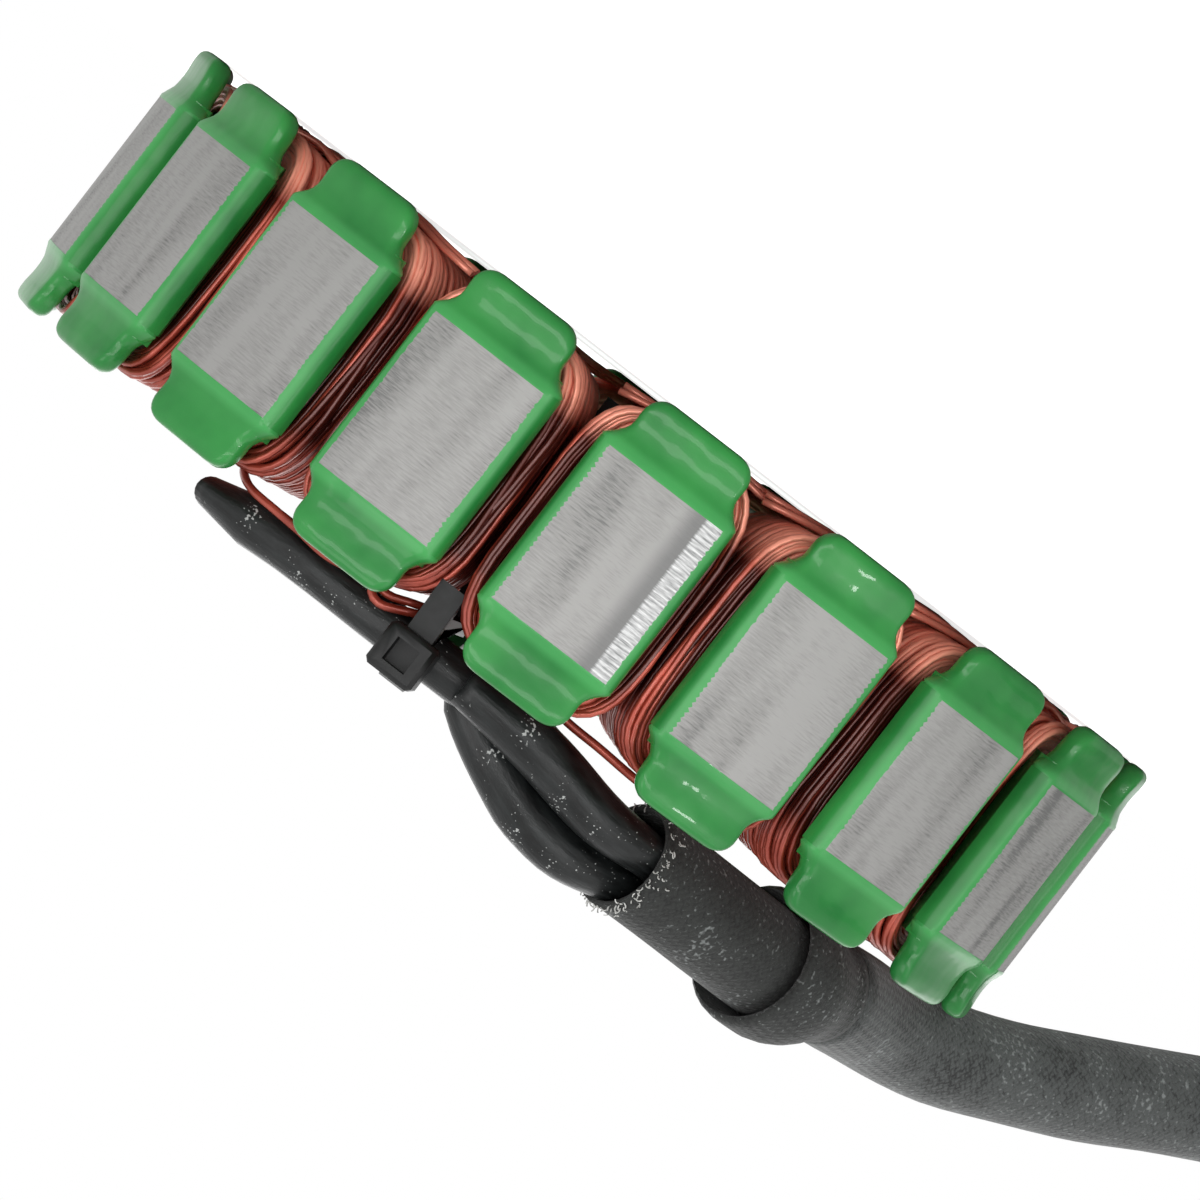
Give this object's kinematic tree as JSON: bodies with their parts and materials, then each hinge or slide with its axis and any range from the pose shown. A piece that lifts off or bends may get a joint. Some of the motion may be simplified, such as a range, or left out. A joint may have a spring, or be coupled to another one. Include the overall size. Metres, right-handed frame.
{
  "type": "wound stator",
  "caption": "Wound stator of a flywheel generator: steel core with green epoxy, enamelled copper coils on every pole, and a black woven harness with its connector.",
  "frame": {"origin": "centre of the ring, in the plane of the lower ear tips on which the stator rests", "axes": "+Z along the ring's axis, up towards the harness side; -Y through the middle of pole 1, the pole in front; the cable leaves towards -X"},
  "size_m": [0.2786, 0.1312, 0.0382],
  "materials": {
    "ground_steel": "satin",
    "green_epoxy": "gloss",
    "enamelled_copper": "gloss",
    "plated_steel": "satin",
    "varnished_tube": "satin",
    "woven_sleeve": "matte",
    "black_nylon": "satin",
    "boot_rubber": "matte",
    "tinned_brass": "satin"
  },
  "bodies": {
    "root": {"core_stack": "ground_steel", "end_plate_upper": "green_epoxy", "end_plate_lower": "green_epoxy", "coil_01": "enamelled_copper", "coil_02": "enamelled_copper", "coil_03": "enamelled_copper", "coil_04": "enamelled_copper", "coil_05": "enamelled_copper", "coil_06": "enamelled_copper", "coil_07": "enamelled_copper", "coil_08": "enamelled_copper", "coil_09": "enamelled_copper", "coil_10": "enamelled_copper", "coil_11": "enamelled_copper", "coil_12": "enamelled_copper", "coil_13": "enamelled_copper", "coil_14": "enamelled_copper", "coil_15": "enamelled_copper", "coil_16": "enamelled_copper", "coil_17": "enamelled_copper", "coil_18": "enamelled_copper", "rivet_1": "plated_steel", "rivet_2": "plated_steel", "rivet_3": "plated_steel", "rivet_4": "plated_steel", "rivet_5": "plated_steel", "rivet_6": "plated_steel", "phase_link_1": "enamelled_copper", "phase_link_2": "enamelled_copper", "phase_link_3": "enamelled_copper", "neutral_sleeve": "varnished_tube", "lead_sleeve_1": "varnished_tube", "lead_sleeve_2": "varnished_tube", "lead_sleeve_3": "varnished_tube", "loom_sleeve": "woven_sleeve", "loom_cuff": "woven_sleeve", "harness_cable": "woven_sleeve", "harness_coil": "woven_sleeve", "harness_tail": "woven_sleeve", "cable_tie": "black_nylon", "connector_housing": "black_nylon", "cable_boot": "boot_rubber", "terminal_1": "tinned_brass", "terminal_2": "tinned_brass", "terminal_3": "tinned_brass"}
  },
  "joints": []
}
